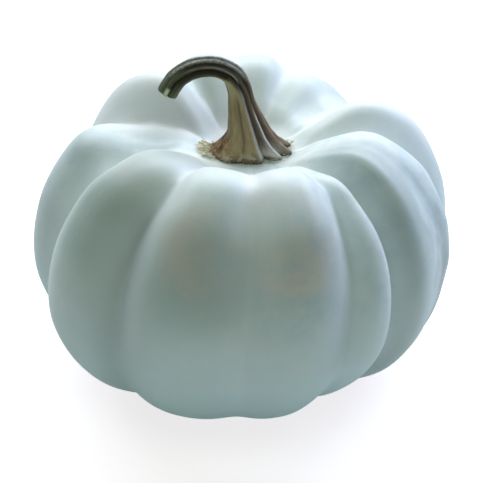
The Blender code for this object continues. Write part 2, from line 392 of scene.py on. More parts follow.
def sheet_of_rows(g, columns, rows):
    """A flat grid to be wrapped round, and how far round and along its points are, from 0 to 1."""
    across = g.plus(columns, 1)
    along = g.plus(rows, 1)
    values = {"Size X": 1.0, "Size Y": 1.0, "Vertices X": across, "Vertices Y": along}
    grid = g.out("GeometryNodeMeshGrid", values)
    place = g.split(g.out("GeometryNodeInputPosition"))
    return grid, g.plus(place[0], 0.5), g.plus(place[1], 0.5)


def closed_up(g, geometry):
    """The wrapped grid with its seam and its poles joined."""
    values = {"Geometry": geometry, "Distance": SAME_POINT}
    return g.out("GeometryNodeMergeByDistance", values)


def finished(g, geometry, material):
    geometry = g.out("GeometryNodeSetShadeSmooth", {"Geometry": geometry})
    geometry = g.out("GeometryNodeRealizeInstances", {"Geometry": geometry})
    return g.out("GeometryNodeSetMaterial", {"Geometry": geometry, "Material": material})


def round_parts(g, azimuth):
    """The sine and the cosine of an azimuth."""
    turn = g.math("RADIANS", azimuth)
    return g.math("SINE", turn), g.math("COSINE", turn)


def angle_from(g, azimuth, at):
    """Degrees from one azimuth to another, from -180 to 180."""
    return g.math("WRAP", g.minus(azimuth, at), 180.0, -180.0)


def beside(g, azimuth, at, full, none):
    """1 within full degrees of an azimuth on either side, easing to 0 at none degrees."""
    return g.faded(g.math("ABSOLUTE", angle_from(g, azimuth, at)), full, none)


def bell(g, off):
    """1 at 0 and about a half at 1, on either side."""
    return g.math("EXPONENT", g.times(off, off, BELL_FALL))


def share_to_neighbours(g, off, before, after):
    """0 on the middle of a lobe or crease and 1 at its neighbour's on either side."""
    behind = g.math("DIVIDE", g.times(off, -1.0), before)
    share = g.math("MAXIMUM", behind, g.math("DIVIDE", off, after))
    return g.math("MINIMUM", share, 1.0)


# ---------- the fruit
# the levels of places_of, of which the first two are columns of CREASES, and its column of turns
HIGH_UP, LOW_DOWN, BY_CREST, TURN = 0, 1, 2, 6
LINE_NARROWNESS = 6.0
CLOUD_FOOT, CLOUD_TOP = 0.005, 0.004  # half of what the lower and upper edges of a patch of painted light and shade fade over
# what creases and lobes both take
PLACED = {
    "Azimuth": 0.0, "Bend": 0.0, "By Crest": 0.0,
    "High At": (0.0, 15.0, 15.0), "Low At": (0.0, 15.0, 15.0), "Turn At": NOWHERE,
}


def crease_group():
    """One crease: its cuts high up and low down and its bottom line of painted light, added to
    those so far.
    """
    takes = {
        **PLACED, "So Far": NOWHERE, "High": 1.0, "Low": 1.0, "Softness": 0.1,
        "Roundness": 2.4, "Crest Share": 1.0, "Paleness": 0.5,
    }
    g, i, o = new_group("crease", takes, {"Total": "Vector"})
    away = away_from(g, i)
    squared = g.times(i["Softness"], i["Softness"])
    slant = g.math("SQRT", g.times_plus(away, away, squared))
    whole = g.minus(g.math("SQRT", g.plus(squared, 1.0)), i["Softness"])
    rounded = g.math("DIVIDE", g.minus(slant, i["Softness"]), whole)
    cut = g.math("POWER", g.minus(1.0, rounded), i["Roundness"])
    # the bottom line of the crease is painted light, as strong as its Paleness
    line = g.times(g.math("POWER", g.minus(1.0, away), LINE_NARROWNESS), i["Paleness"])
    left = g.blended(i["By Crest"], 1.0, i["Crest Share"])
    high = g.times(cut, i["High"], left)
    here = g.joined(high, g.times(cut, i["Low"]), line)
    give(g, o, Total=g.vector("ADD", i["So Far"], here))
    return g.tree


def away_from(g, given):
    """0 on the middle of a crease or lobe and 1 at its neighbour's.

    High At, Low At and Turn At each hold its azimuth and the room before and after it.
    """
    values = {0: given["Bend"], 4: given["Low At"], 5: given["High At"]}
    mixed = g.node("ShaderNodeMix", values, data_type="VECTOR").outputs[1]
    turned = g.vector("ADD", mixed, g.scaled(given["Turn At"], given["By Crest"]))
    at, before, after = g.split(turned)
    return share_to_neighbours(g, angle_from(g, given["Azimuth"], at), before, after)


def lobe_group():
    """One lobe: its reach, lift and belly, its dip and the painted shade on its flank, added to
    those so far.
    """
    takes = {
        **PLACED, "So Far": NOWHERE, "Dip So Far": 0.0, "Dull So Far": 0.0,
        "Shape": NOWHERE, "Dip": 0.0, "Dullness": 0.5,
    }
    gives = {"Total": "Vector", "Dips": "Float", "Dull": "Float"}
    g, i, o = new_group("lobe", takes, gives)
    share = g.times_plus(g.math("COSINE", g.times(away_from(g, i), math.pi)), 0.5, 0.5)
    give(g, o, Total=g.vector("ADD", i["So Far"], g.scaled(i["Shape"], share)))
    give(g, o, Dips=g.times_plus(i["Dip"], share, i["Dip So Far"]))
    give(g, o, Dull=g.times_plus(i["Dullness"], share, i["Dull So Far"]))
    return g.tree


def painted_light_and_shade_group():
    """One broad patch of painted shade, or of painted light where its strength is below 0, added to
    those before it.
    """
    takes = {
        "So Far": 0.0, "Azimuth": 0.0, "Height": 0.0, "At": 0.0, "Width": 10.0, "Low": 0.0,
        "High": 0.06, "Strength": 0.2,
    }
    g, i, o = new_group("rind_cloud", takes, {"Total": "Float"})
    off = g.math("DIVIDE", angle_from(g, i["Azimuth"], i["At"]), i["Width"])
    over = g.eased(g.minus(i["Height"], i["Low"]), -CLOUD_FOOT, CLOUD_FOOT)
    under = g.eased(g.minus(i["High"], i["Height"]), -CLOUD_TOP, CLOUD_TOP)
    here = g.times(over, under, g.times(bell(g, off), i["Strength"]))
    give(g, o, Total=g.plus(i["So Far"], here))
    return g.tree


def places_of(kind, level):
    """For each crease or lobe, its azimuth at a level and the room before and after it."""
    angles = [row[HIGH_UP] + row[TURN] if level == BY_CREST else row[level] for row in CREASES]
    angles.append(angles[0] + ROUND)
    crests = [(a + b) / 2 for a, b in zip(angles, angles[1:])]
    middles = angles if kind == "crease" else crests
    following = crests if kind == "crease" else crests[1:] + crests[:1]
    return [
        (middles[k], (middles[k] - crests[k - 1]) % ROUND, (following[k] - middles[k]) % ROUND)
        for k in range(len(crests))
    ]


def with_places(table, kind):
    """Each row of a table with its places high up and low down and their change by the crest."""
    high, low, crest = (places_of(kind, level) for level in (HIGH_UP, LOW_DOWN, BY_CREST))
    turns = [tuple(b - a for a, b in zip(*pair)) for pair in zip(high, crest)]
    return zip(table, high, low, turns)


def fruit_tree():
    takes = {
        "Outline": "Geometry", "Columns": 448, "Rows": 208, "Roundness": 2.4,
        "Hollow Roundness": 3.8, "Bend Low": 0.024, "Bend High": 0.056,
        "Seat Radius": 0.0098, "Crest Radius": 0.024, "Widest": 0.0468,
        "Crease Low": 0.020, "Crease High": 0.054, "Lift From": 0.041, "Lift Full": 0.065,
        "Dip From": 0.040, "Dip Full": 0.025, "Fade From": 0.044, "Fade Full": 0.026,
        "Belly Full": 0.006, "Belly From": 0.030, "Lean": 0.06, "Lean From": 0.025,
        "Hollow Full": 0.016, "Hollow From": 0.034, "Upper Half": 0.030,
        "Middle": NOWHERE, "Wander": 0.8, "Swell": 0.00028, "Dents": 0.0015, "Seed": 4.0,
        "Finish": "Material",
    }
    g, i, o = new_group("ribbed_fruit", takes, {"Fruit": "Geometry"})
    flat, round_share, up_share = sheet_of_rows(g, i["Columns"], i["Rows"])
    place, slope, (depth,) = on_path(g, i["Outline"], up_share, "crease_depth")
    radius, _, height = g.split(place)
    slope_r, _, slope_z = g.split(slope)
    true_azimuth = g.times(round_share, ROUND)
    sine, cosine = round_parts(g, true_azimuth)
    away_from_seat = g.eased(radius, i["Seat Radius"], i["Widest"])
    # the creases wander a little from straight up
    round_place = g.joined(g.plus(sine, i["Seed"]), cosine, g.times(up_share, 2.4))
    wander = g.minus(g.noise(round_place, scale=2.2, detail=1.0), 0.5)
    wander = g.times(wander, 2.0, i["Wander"])
    azimuth = g.times_plus(wander, away_from_seat, true_azimuth)

    bend = g.eased(height, i["Bend Low"], i["Bend High"])
    on_top = g.math("GREATER_THAN", height, i["Upper Half"])
    in_hollow = g.times(g.faded(radius, i["Hollow Full"], i["Hollow From"]), on_top)
    roundness = g.blended(in_hollow, i["Roundness"], i["Hollow Roundness"])
    by_crest = g.times(g.faded(radius, i["Fade Full"], i["Fade From"]), on_top)
    crease, lobe = crease_group(), lobe_group()
    cuts, shape, dips, flank_shade = NOWHERE, NOWHERE, 0.0, 0.0
    shared = {"Azimuth": azimuth, "Bend": bend, "By Crest": by_crest}
    for row, high_at, low_at, turn_at in with_places(CREASES, "crease"):
        at, _, high, low, softness, crest_share, _, paleness = row
        values = {
            "So Far": cuts, "High At": high_at, "Low At": low_at, "Turn At": turn_at,
            "High": high, "Low": low, "Softness": softness, "Roundness": roundness,
            "Crest Share": crest_share, "Paleness": paleness,
        }
        cuts = g.placed(crease, {**shared, **values}, f"crease at {at:g}")[0]
    for (reach, lift, belly, dip, flank_shading), high_at, low_at, turn_at in with_places(LOBES, "lobe"):
        values = {
            "So Far": shape, "Dip So Far": dips, "Dull So Far": flank_shade, "High At": high_at,
            "Low At": low_at, "Turn At": turn_at, "Shape": (reach * MM, lift * MM, belly * MM),
            "Dip": dip * MM, "Dullness": flank_shading,
        }
        shape, dips, flank_shade = g.placed(lobe, {**shared, **values}, f"lobe at {high_at[0]:g}")[:3]

    # the broad patches of painted shade and painted light, kept as shade
    light_and_shade_cloud, shade = painted_light_and_shade_group(), 0.0
    for at, width, low, high, strength in PAINTED_LIGHT_AND_SHADE:
        values = {
            "So Far": shade, "Azimuth": azimuth, "Height": height, "At": at, "Width": width,
            "Low": low * MM, "High": high * MM, "Strength": strength,
        }
        shade = g.placed(light_and_shade_cloud, values, f"cloud at {at:g}")[0]
    # none of the painted light and shade lies on the seat
    shade = g.times(shade, g.eased(radius, 0.011, 0.020))

    high_cut, low_cut, line = g.split(cuts)
    reach, lift, belly = g.split(shape)
    pressed = g.blended(g.eased(height, i["Crease Low"], i["Crease High"]), low_cut, high_cut)
    deepest = g.times(pressed, depth)
    inner = g.eased(radius, i["Seat Radius"], i["Crest Radius"])
    low_down = g.faded(height, i["Belly Full"], i["Belly From"])
    high_up = g.eased(height, i["Lift From"], i["Lift Full"])
    out = g.minus(radius, g.times(slope_z, deepest))
    out = g.times_plus(away_from_seat, reach, out)
    out = g.times_plus(g.times(inner, low_down), belly, out)
    rise = g.times_plus(slope_r, deepest, height)
    rise = g.times_plus(g.times(inner, high_up), lift, rise)
    dipped = g.times(g.faded(radius, i["Dip Full"], i["Dip From"]), on_top)
    rise = g.times_plus(g.times(inner, dipped), dips, rise)
    rise = g.math("MAXIMUM", rise, 0.0)
    aside = g.times(g.minus(rise, i["Lean From"]), i["Lean"])
    x = g.times_plus(out, sine, aside)
    y = g.times(out, cosine, -1.0)
    wrapped = g.vector("SUBTRACT", g.joined(x, y, rise), i["Middle"])

    # dents on the right-hand lobes, halfway up; the swell is free of the seat and the base
    upper = g.times(g.eased(up_share, 0.34, 0.48), g.faded(up_share, 0.62, 0.74))
    marks = {
        "crease": g.math("MINIMUM", line, 1.0),
        "hollow": g.math("MINIMUM", pressed, 1.3),
        "flank_shade": flank_shade,
        "shade": shade,
        "dented": g.times(beside(g, true_azimuth, at=80.0, full=9.0, none=24.0), upper),
        "free": g.times(g.eased(up_share, 0.16, 0.26), g.eased(radius, 0.010, 0.018)),
    }
    body = g.kept(flat, marks)
    body = g.kept(body, {"meridian": g.joined(sine, cosine, up_share)}, "FLOAT_VECTOR")
    body = closed_up(g, g.moved(body, "Position", wrapped))
    # a slow swell all over, and the dents
    point = g.out("GeometryNodeInputPosition")
    normal = g.out("GeometryNodeInputNormal")
    seeded = g.vector("ADD", point, g.joined(0.0, 0.0, i["Seed"]))
    swell = g.minus(g.noise(seeded, scale=62.0, detail=1.5, roughness=0.4), 0.5)
    swell = g.times(swell, 2.0, i["Swell"])
    squashed = g.vector("MULTIPLY", seeded, (1.0, 1.0, 0.45))
    dents = g.minus(g.noise(squashed, scale=150.0, distortion=0.4), 0.5)
    dents = g.times(dents, i["Dents"], g.named("dented"))
    moved = g.times(g.plus(swell, dents), g.named("free"))
    body = g.moved(body, "Offset", g.scaled(normal, moved))
    give(g, o, Fruit=finished(g, body, i["Finish"]))
    return g.tree


# ---------- the stem
def groove_group():
    """One groove down the stem: the cut so far, and how far the nearest groove's middle is."""
    takes = {
        "So Far": (0.0, 1.0, 0.0), "Azimuth": 0.0, "Climb": 0.0, "At Foot": 0.0, "At Arch": 0.0,
        "Before": 15.0, "After": 15.0, "Foot Depth": 0.2, "Arch Depth": 0.2, "Narrowness": 1.0,
    }
    g, i, o = new_group("groove", takes, {"Total": "Vector"})
    at = g.blended(i["Climb"], i["At Foot"], i["At Arch"])
    away = share_to_neighbours(g, angle_from(g, i["Azimuth"], at), i["Before"], i["After"])
    profile = g.math("POWER", g.faded(away, 0.0, 1.0), i["Narrowness"])
    depth = g.blended(i["Climb"], i["Foot Depth"], i["Arch Depth"])
    cut, nearest, _ = g.split(i["So Far"])
    cut = g.times_plus(profile, depth, cut)
    give(g, o, Total=g.joined(cut, g.math("MINIMUM", nearest, away), 0.0))
    return g.tree


def line_group():
    """One coloured line along the stem: its strength, or that of the lines before it if greater."""
    takes = {
        "So Far": 0.0, "Azimuth": 0.0, "Climb": 0.0, "Along": 0.0, "At Foot": 0.0, "At Arch": 0.0,
        "Foot Width": 5.0, "Arch Width": 5.0, "From": 0.0, "Until": 1.0, "Strength": 1.0,
    }
    g, i, o = new_group("stem_line", takes, {"Total": "Float"})
    off = angle_from(g, i["Azimuth"], g.blended(i["Climb"], i["At Foot"], i["At Arch"]))
    off = g.math("DIVIDE", off, g.blended(i["Climb"], i["Foot Width"], i["Arch Width"]))
    begun = g.eased(g.minus(i["Along"], i["From"]), 0.0, 0.06)
    not_ended = g.eased(g.minus(i["Until"], i["Along"]), 0.0, 0.12)
    here = g.times(begun, not_ended, g.times(bell(g, off), i["Strength"]))
    give(g, o, Total=g.math("MAXIMUM", i["So Far"], here))
    return g.tree


FOOT_CLOSED, CUT_FROM = 0.02, 0.975  # the first rows close the foot and the last ones the cut tip


def stem_tree():
    takes = {
        "Path": "Geometry", "Columns": 240, "Rows": 340, "Middle": NOWHERE,
        "Fibre": 0.045, "Knots": 0.08, "Toes": 0.0003, "Toe Top": 0.0612,
        "Cut Dish": 0.0005, "Ragged": 0.0009, "Seed": 7.0, "Finish": "Material",
    }
    g, i, o = new_group("hooked_stem", takes, {"Stem": "Geometry"})
    flat, round_share, row_share = sheet_of_rows(g, i["Columns"], i["Rows"])
    along = g.ranged(row_share, FOOT_CLOSED, CUT_FROM)
    place, direction, (girth, flatness) = on_path(g, i["Path"], along, "girth", "flatness")
    height = g.split(place)[2]
    climb = g.eased(along, 0.30, 0.62)
    azimuth = g.times(round_share, ROUND)
    sine, cosine = round_parts(g, azimuth)

    groove, shared = groove_group(), {"Azimuth": azimuth, "Climb": climb}
    state = (0.0, 1.0, 0.0)
    feet = [row[0] for row in STEM_GROOVES]
    neighbours = zip(feet[-1:] + feet[:-1], feet, feet[1:] + feet[:1])
    for row, (last, foot, following) in zip(STEM_GROOVES, neighbours):
        room = {"Before": ((foot - last) % ROUND) / 2, "After": ((following - foot) % ROUND) / 2}
        values = {**shared, **room, **dict(zip(GROOVE_COLUMNS, row)), "So Far": state}
        state = g.placed(groove, values, f"groove at {foot:g}")[0]
    cut, nearest, _ = g.split(state)

    line, strengths = line_group(), []
    for table in (PALE_LINES, DARK_LINES):
        total = 0.0
        for row in table:
            values = {**shared, **dict(zip(LINE_COLUMNS, row)), "Along": along, "So Far": total}
            total = g.placed(line, values, f"line at {row[0]:g}")[0]
        strengths.append(total)

    # fibres run up the stem, and slow knots thicken and thin it
    round_place = g.joined(g.plus(sine, i["Seed"]), cosine, g.times(along, 2.2))
    fibre = g.minus(g.noise(round_place, scale=5.5, detail=3.0, roughness=0.6), 0.5)
    knots = g.minus(g.noise(round_place, scale=1.9, detail=1.0), 0.5)
    at_foot = g.faded(height, 0.0568, i["Toe Top"])
    crest = g.eased(nearest, 0.35, 1.0)
    radius = g.times(girth, g.minus(1.0, cut))
    radius = g.times(radius, g.times_plus(fibre, g.times(i["Fibre"], 2.0), 1.0))
    radius = g.times(radius, g.times_plus(knots, i["Knots"], 1.0))
    toes = g.times(at_foot, crest, i["Toes"])
    radius = g.plus(radius, toes)
    cut_shut = g.ranged(row_share, CUT_FROM, 1.0, 1.0, 0.0)
    closing = g.math("MINIMUM", g.ranged(row_share, 0.0, FOOT_CLOSED), cut_shut)
    radius = g.times(radius, g.math("POWER", closing, 0.5))

    side = g.vector("NORMALIZE", g.vector("CROSS_PRODUCT", (0.0, 1.0, 0.0), direction))
    front = g.vector("CROSS_PRODUCT", side, direction)
    across = g.scaled(side, g.times(radius, sine))
    ahead = g.scaled(front, g.times(radius, cosine, flatness))
    # the cut is dished a little and ragged at its rim
    at_tip = g.eased(along, 0.975, 1.0)
    tear = g.minus(g.noise(round_place, scale=3.4, detail=3.0, roughness=0.7), 0.5)
    tear = g.times(tear, i["Ragged"])
    in_cut = g.times(g.eased(row_share, 0.978, 1.0), i["Cut Dish"])
    push = g.minus(g.times(tear, at_tip), in_cut)
    pushed = g.vector("ADD", ahead, g.scaled(direction, push))
    point = g.vector("ADD", g.vector("ADD", place, across), pushed)
    point = g.vector("SUBTRACT", point, i["Middle"])

    # the left of the foot is rusty, and less so further up
    left = beside(g, azimuth, at=-86.0, full=26.0, none=50.0)
    rusty = g.times(left, g.eased(height, 0.0590, 0.0635, 1.0, 0.16), g.faded(along, 0.36, 0.50))
    # the olive face in front, whose upper end runs up to the left under the arch
    aside = angle_from(g, azimuth, -24.0)
    front_face = g.faded(g.math("ABSOLUTE", aside), 36.0, 56.0)
    top_end = g.times_plus(aside, -0.0045, 0.55)
    olive = g.times(front_face, g.faded(g.minus(along, top_end), -0.05, 0.03))
    # the arch has a painted highlight along its upper side, and a chip is torn off beside the cut
    upper_side = beside(g, azimuth, at=84.0, full=28.0, none=52.0)
    upper_side = g.times(upper_side, g.eased(along, 0.86, 0.94, 1.0, 0.2))
    torn = beside(g, azimuth, at=16.0, full=6.0, none=18.0)
    marks = {
        "groove": g.faded(nearest, 0.0, 0.62),
        "pale_line": strengths[0],
        "dark_line": strengths[1],
        "arch_highlight": g.times(upper_side, g.eased(along, 0.44, 0.64)),
        "along": along,
        "rusty": rusty,
        "olive": olive,
        "foot": g.faded(height, 0.0566, 0.0594),
        "rim": g.faded(height, 0.0561, 0.0573),
        "torn": g.times(torn, g.eased(along, 0.945, 0.965)),
        "cut_face": g.eased(row_share, 0.974, 0.982),
    }
    stem = g.kept(flat, marks)
    stem = g.kept(stem, {"round": g.joined(sine, cosine, along)}, "FLOAT_VECTOR")
    stem = closed_up(g, g.moved(stem, "Position", point))
    give(g, o, Stem=finished(g, stem, i["Finish"]))
    return g.tree


# ---------- the dried fringe
def seeded(g, low, high, seed):
    """A number that differs from flake to flake."""
    values = {2: low, 3: high, 8: seed}
    return g.node("FunctionNodeRandomValue", values, data_type="FLOAT").outputs[1]


def fringe_tree():
    takes = {
        "Rim": "Geometry", "Flakes": 1500, "Centre": NOWHERE, "Jitter": 0.0009,
        "Lift": 10.0, "Width": 0.44, "Curl": 0.22, "Fold": 0.22, "Seed": 11, "Finish": "Material",
    }
    g, i, o = new_group("dried_fringe", takes, {"Fringe": "Geometry"})
    curve = g.out("GeometryNodeMeshToCurve", {"Mesh": i["Rim"]})
    values = {"Curve": curve, "Count": i["Flakes"]}
    points = g.out("GeometryNodeCurveToPoints", values, mode="COUNT")
    seed = [g.plus(i["Seed"], k) for k in range(9)]
    bare = g.math("GREATER_THAN", seeded(g, 0.0, 1.0, seed[0]), g.named("cover"))
    values = {"Geometry": points, "Selection": bare}
    points = g.out("GeometryNodeDeleteGeometry", values, domain="POINT")
    jitter = g.joined(*(g.times(seeded(g, -1.0, 1.0, seed[k]), i["Jitter"]) for k in (1, 2)), 0.0)
    points = g.moved(points, "Offset", jitter)

    # one flake: a tapered, curling strip, 1 long
    values = {"Size X": 1.0, "Size Y": 1.0, "Vertices X": 7, "Vertices Y": 3}
    strip = g.out("GeometryNodeMeshGrid", values)
    x, y, _ = g.split(g.out("GeometryNodeInputPosition"))
    run = g.plus(x, 0.5)
    taper = g.minus(1.0, g.math("POWER", run, 3.4))
    ragged = g.times_plus(g.math("SINE", g.times(run, 16.0)), 0.30, 0.9)
    wide = g.times(y, i["Width"], g.times(taper, ragged))
    raised = g.plus(g.times(g.math("POWER", run, 2.0), i["Curl"]), g.times(y, y, taper, i["Fold"]))
    flake = g.moved(strip, "Position", g.joined(run, wide, raised))

    outward = g.vector("SUBTRACT", g.out("GeometryNodeInputPosition"), i["Centre"])
    axes = {"primary_axis": "X", "secondary_axis": "Z"}
    facing = g.out("FunctionNodeAxesToRotation", {0: outward, 1: (0.0, 0.0, 1.0)}, **axes)
    lifted = g.math("RADIANS", g.times(i["Lift"], -1.0))
    twist = g.joined(
        seeded(g, -1.3, 1.3, seed[3]),
        g.times(seeded(g, 0.3, 1.8, seed[4]), lifted),
        seeded(g, -0.8, 0.8, seed[5]),
    )
    values = {0: facing, 1: g.out("FunctionNodeEulerToRotation", {0: twist})}
    turned = g.out("FunctionNodeRotateRotation", values, rotation_space="LOCAL")
    length = g.times(g.named("length"), seeded(g, 0.10, 0.72, seed[6]))
    size = g.joined(length, g.times(length, seeded(g, 0.30, 1.3, seed[7])), length)
    values = {"Points": points, "Instance": flake, "Rotation": turned, "Scale": size}
    flakes = g.out("GeometryNodeInstanceOnPoints", values)
    flakes = g.kept(flakes, {"shade": seeded(g, 0.0, 1.0, seed[8])}, domain="INSTANCE")
    give(g, o, Fringe=finished(g, flakes, i["Finish"]))
    return g.tree


FOOT_X, FOOT_WIDE, FOOT_DEEP = 2.1, 9.2, 5.6  # the foot's middle and its half widths, in mm
# the height of the fringe's rim, of the point it spreads from and its least length, in mm
RIM_HEIGHT, SPREAD_HEIGHT, SHORTEST = 56.4, 56.2, 0.4


def fringe_rim():
    """The rim of the stem's foot as a path, with how much fringe it has and how long that is."""
    points, cover, length = [], [], []
    for azimuth in np.arange(-180.0, 181.0, 4.0):
        turn = math.radians(azimuth)
        x = FOOT_X + FOOT_WIDE * math.sin(turn) - MIDDLE[0]
        points.append((x, -FOOT_DEEP * math.cos(turn) - MIDDLE[1], RIM_HEIGHT))
        near = []
        for at, spread, _, _ in FRINGE:
            off = (azimuth - at + ROUND / 2) % ROUND - ROUND / 2
            near.append(math.exp(-(off / spread) ** 2))
        cover.append(min(1.0, sum(n * tuft[3] for n, tuft in zip(near, FRINGE))))
        length.append(MM * (SHORTEST + sum(n * tuft[2] for n, tuft in zip(near, FRINGE))))
    return path_mesh("fringe_rim", points, cover=cover, length=length)


# ---------- finishes
def mottle_group():
    """Cloudy patches with finer flecks in them, as a number around a half."""
    takes = {"Place": NOWHERE, "Clouds": 60.0, "Flecks": 400.0, "Fleck Share": 0.3, "Contrast": 1.0}
    g, i, o = new_group("mottle", takes, {"Shade": "Float"}, "ShaderNodeTree")
    clouds = g.noise(i["Place"], i["Clouds"], detail=4.0, roughness=0.55, distortion=0.3)
    flecks = g.noise(i["Place"], i["Flecks"], detail=3.0, roughness=0.6)
    both = g.blended(i["Fleck Share"], clouds, flecks)
    spread = g.times(g.minus(both, 0.5), g.times(i["Contrast"], 3.0))
    give(g, o, Shade=g.plus(spread, 0.5))
    return g.tree


GRAIN_INPUTS = ("Place", "Pores", "Pore Size", "Grain", "Grain Share")


def grain_group():
    """Fine pores and grain, as a height from 0 to 1 and as a mask of the pores."""
    takes = dict(zip(GRAIN_INPUTS, (NOWHERE, 900.0, 0.25, 2400.0, 0.5)))
    g, i, o = new_group("grain", takes, {"Height": "Float", "Pore Mask": "Float"}, "ShaderNodeTree")
    values = {"Vector": i["Place"], "Scale": i["Pores"]}
    cells = g.node("ShaderNodeTexVoronoi", values).outputs["Distance"]
    pores = g.faded(cells, 0.0, i["Pore Size"])
    fine = g.noise(i["Place"], i["Grain"], roughness=0.6)
    height = g.minus(g.times(fine, i["Grain Share"]), g.times(pores, 0.5))
    give(g, o, Height=g.plus(height, 0.5), Pore_Mask=pores)
    return g.tree


def new_finish(name, **settings):
    """A material with settings put on its shader: it, its Graph, a place and the inputs."""
    made = bpy.data.materials.new(name)
    made.use_nodes = True
    shader = made.node_tree.nodes["Principled BSDF"]
    for label, value in settings.items():
        shader.inputs[label.replace("_", " ")].default_value = value
    g = Graph(made.node_tree)
    return made, g, g.node("ShaderNodeTexCoord").outputs["Object"], shader.inputs


def kept_value(g, name, output="Fac"):
    return g.node("ShaderNodeAttribute", attribute_name=name).outputs[output]


FRONT_X, STAIN_X = 0.003, 0.0023  # the middles of the front lobes and of the stain round the stem
SCAR_X, SCAR_Y = -0.0014, -0.0002  # the blossom end


def mottled(g, group, place, clouds, flecks, share, contrast):
    """The mottle group's patches at a place."""
    values = {"Clouds": clouds, "Flecks": flecks, "Fleck Share": share, "Contrast": contrast}
    return g.placed(group, {"Place": place, **values})[0]


def put_on(g, sockets, colour, roughness, height, distance, strength):
    """Links a colour, a roughness and a bump, whose height counts in distances, to the shader."""
    g.tree.links.new(colour, sockets["Base Color"])
    g.tree.links.new(roughness, sockets["Roughness"])
    values = {"Height": height, "Distance": distance, "Strength": strength}
    g.tree.links.new(g.out("ShaderNodeBump", values), sockets["Normal"])


def rind_finish(mottle, grain):
    """Pale, waxy rind: blue-white with soft green and brownish clouds, painted light in and along
    its creases, painted shade on its flanks and in patches.
    """
    made, g, place, sockets = new_finish(
        "white_rind", Specular_IOR_Level=0.35, Subsurface_Weight=0.5, Subsurface_Scale=0.006,
        Subsurface_Radius=(0.9, 1.0, 1.0)
    )
    x, y, z = g.split(place)
    names = ("crease", "hollow", "flank_shade", "shade")
    crease, hollow, flank_shade, shade = (kept_value(g, name) for name in names)
    clouds = mottled(g, mottle, place, clouds=46.0, flecks=520.0, share=0.22, contrast=0.9)
    dabs = mottled(g, mottle, place, clouds=125.0, flecks=300.0, share=0.40, contrast=1.9)
    upright = g.vector("MULTIPLY", kept_value(g, "meridian", "Vector"), (1.0, 1.0, 0.16))
    streaks = mottled(g, mottle, upright, clouds=9.0, flecks=34.0, share=0.5, contrast=0.9)
    pores = g.placed(grain, dict(zip(GRAIN_INPUTS, (place, 620.0, 0.30, 2600.0, 0.35))))

    # the flanks carry painted shade: darker and greener, with brownish clouds in front; the cool
    # lobes, which have little of it, are painted bluer instead
    flank = g.times(g.eased(z, 0.032, 0.050), g.eased(g.reach(x, y), 0.028, 0.037))
    flank = g.times(flank, 0.72, g.times_plus(hollow, -0.6, 1.0))
    # less painted shade high up on the right-hand lobes
    right_top = g.times(g.eased(x, 0.014, 0.030), g.eased(z, 0.052, 0.060))
    flank = g.times(flank, g.times_plus(right_top, -0.8, 1.0))
    aside = g.math("ABSOLUTE", g.minus(x, FRONT_X))
    in_front = g.times(g.eased(y, -0.024, -0.034), g.faded(aside, 0.013, 0.023))
    brownish = g.times(g.eased(clouds, 0.00, 0.70), g.times(in_front, g.eased(z, 0.040, 0.050)))
    greenish = g.mixed(brownish, (0.392, 0.487, 0.43), (0.7, 0.492, 0.385))
    flank_shading = g.mixed(flank_shade, (0.79, 0.865, 0.905), greenish)
    colour = g.mixed(clouds, (0.8, 0.85, 0.835), (0.88, 0.915, 0.905))

    warm_band = g.times(g.eased(z, 0.045, 0.050), g.faded(z, 0.0555, 0.0595))
    warm = g.times(in_front, warm_band, g.eased(clouds, -0.1, 0.6, 0.10, 0.36))
    cool = g.times(g.eased(flank_shade, 0.80, 0.42), g.eased(z, 0.030, 0.045))
    cool = g.times(cool, g.eased(y, -0.002, 0.012, 1.0, 0.25))
    right_foot = g.times(g.eased(x, 0.024, 0.036), g.eased(z, 0.018, 0.036, 0.34, 0.0))
    by_stem = g.faded(g.reach(g.minus(x, STAIN_X), y), 0.0085, 0.0150)
    stained = g.times(by_stem, g.math("GREATER_THAN", z, 0.03))
    from_scar = g.reach(g.plus(x, -SCAR_X), g.plus(y, -SCAR_Y))
    crumbs = g.noise(place, scale=700.0, detail=3.0, roughness=0.6)
    ragged = g.times_plus(crumbs, 0.0024, from_scar)
    scar = g.times(g.faded(ragged, 0.0036, 0.0046), g.math("LESS_THAN", z, 0.01))
    colour = g.layered(
        colour,
        (flank, flank_shading),
        (warm, (0.94, 0.71, 0.56)),  # across the front lobes
        (g.times(dabs, cool, 0.46), (0.5, 0.63, 0.71)),  # faint bluish dabs on the cool lobes
        (g.times(hollow, 0.65), (0.93, 0.965, 0.985)),  # painted light in the creases
        (g.eased(z, 0.012, 0.042, 0.5, 0.0), (0.69, 0.863, 0.885)),  # painted bluish bounce light low down
        (right_foot, (0.95, 0.8, 0.78)),  # warmer low down on the right
        (g.math("MAXIMUM", shade, 0.0), (0.24, 0.29, 0.27)),  # the painted shade patches
        (g.times(g.math("MINIMUM", shade, 0.0), -1.0), (0.96, 0.97, 0.985)),  # the painted light patches
        (g.times(streaks, 0.16), (0.65, 0.74, 0.71)),
        (g.times(crease, g.eased(z, 0.052, 0.060, 0.30, 1.0)), (0.94, 0.975, 0.995)),  # the creases' painted light lines
        (g.eased(z, 0.004, 0.026, 0.40, 0.0), (0.3, 0.35, 0.33)),  # a painted contact shadow at the very base
        (g.times(pores[1], 0.16), (0.86, 0.89, 0.87)),
        (g.times(stained, 0.15), (0.68, 0.68, 0.58)),  # round the stem
        (scar, (0.3, 0.215, 0.12)),  # corky, at the blossom end
    )
    rough = g.times_plus(streaks, 0.06, g.times_plus(clouds, 0.10, 0.36))
    rough = g.times_plus(scar, 0.35, rough)
    height = g.times_plus(streaks, 0.5, g.times_plus(pores[0], 0.35, g.times(clouds, 0.5)))
    put_on(g, sockets, colour, rough, height, distance=0.00012, strength=0.5)
    return made


